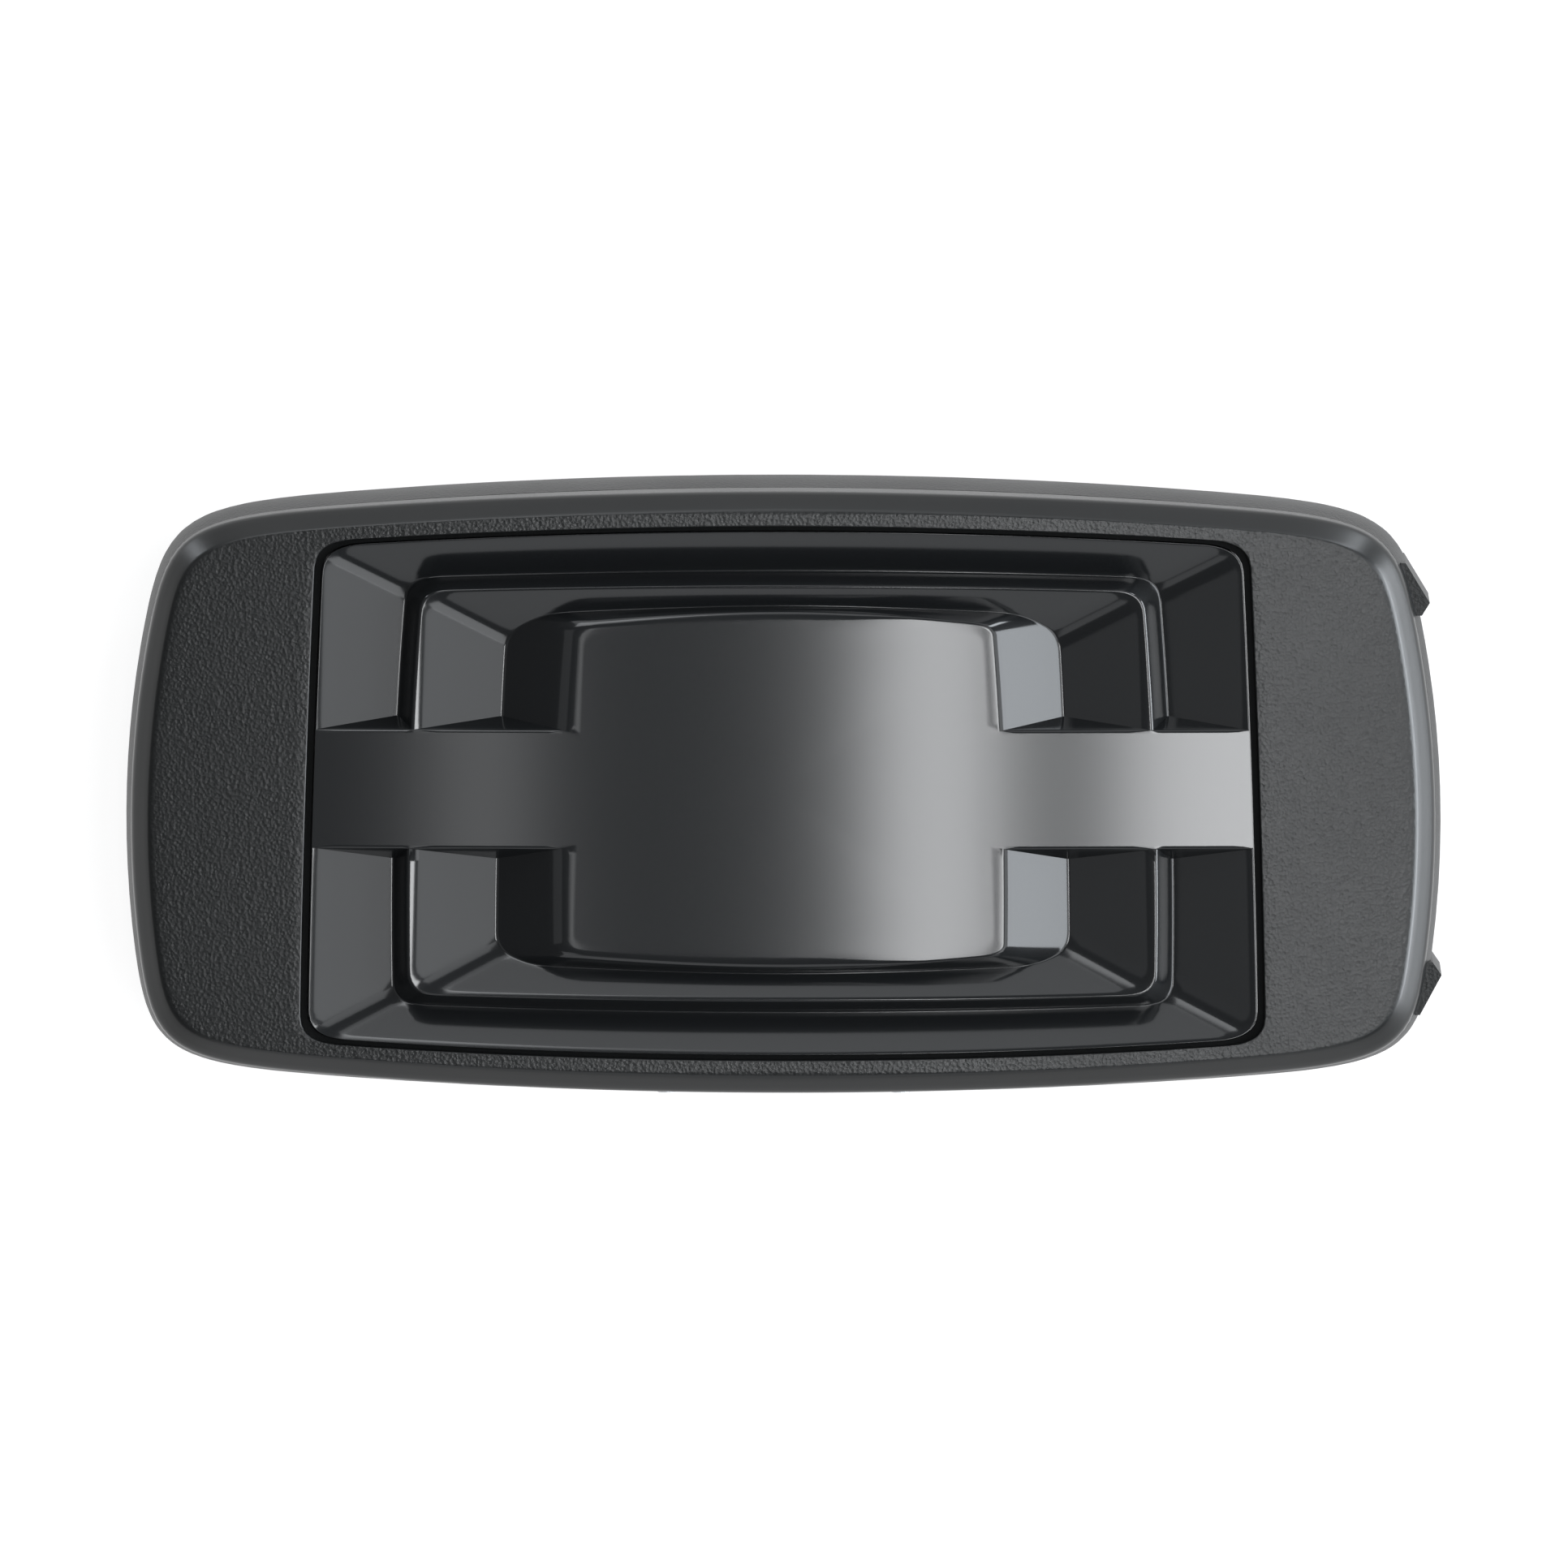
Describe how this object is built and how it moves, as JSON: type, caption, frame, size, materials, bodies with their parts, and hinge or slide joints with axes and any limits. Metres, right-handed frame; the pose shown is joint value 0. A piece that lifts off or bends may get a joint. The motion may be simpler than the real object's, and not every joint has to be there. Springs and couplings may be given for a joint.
{
  "type": "garage door opener network gateway",
  "caption": "Dark grey plastic network gateway with a bowed face, a stepped insert, ports at one end, a reset button and rubber feet.",
  "frame": {"origin": "on the plane the rubber feet stand on, under the middle of the casing", "axes": "+Z out of the bowed face, +X along the long side towards the port end, +Y across it"},
  "size_m": [0.1351, 0.0634, 0.029],
  "materials": {
    "front_shell": "fine matt texture, dark grey",
    "insert_plastic": "smooth satin, dark grey",
    "rear_shell": "fine matt texture, dark grey",
    "rubber_pads": "matt black",
    "screw_steel": "zinc plated",
    "board_laminate": "green solder mask",
    "plated_steel": "tin plated",
    "connector_plastic": "black",
    "gold_contacts": "gold plated",
    "nickel_contacts": "nickel plated",
    "button_plastic": "mid grey",
    "plunger_plastic": "off-white",
    "lamp_resin": "cast resin",
    "pipe_resin": "clear, slightly milky",
    "chip_resin": "moulded resin",
    "capacitor_can": "bare can",
    "ferrite": "sintered, dark grey",
    "small_ceramic": "tan and black"
  },
  "bodies": {
    "gateway": {"front_housing": "front_shell", "face_insert": "insert_plastic", "rear_housing": "rear_shell", "rubber_feet": "rubber_pads", "case_screws": "screw_steel", "board_screws": "screw_steel", "circuit_board": "board_laminate", "network_jack_shield": "plated_steel", "network_jack_body": "connector_plastic", "network_jack_contacts": "gold_contacts", "power_jack_body": "connector_plastic", "power_jack_pin": "nickel_contacts", "power_jack_contact": "nickel_contacts", "reset_switch": "connector_plastic", "status_lamps": "lamp_resin", "light_pipe": "pipe_resin", "radio_shield": "plated_steel", "radio_chip": "chip_resin", "antenna": "gold_contacts", "processor": "chip_resin", "memory_chip": "chip_resin", "crystal": "plated_steel", "network_transformer": "chip_resin", "capacitors": "capacitor_can", "power_inductor": "ferrite", "voltage_regulator": "chip_resin", "small_components": "small_ceramic"},
    "reset": {"reset_button": "button_plastic", "switch_plunger": "plunger_plastic"}
  },
  "joints": [
    {"name": "reset_press", "type": "slide", "parent": "gateway", "child": "reset", "axis": [-1, 0, 0], "range_m": [0, 0.0005], "stiffness_N_per_m": 900, "springref_m": -0.0003}
  ]
}
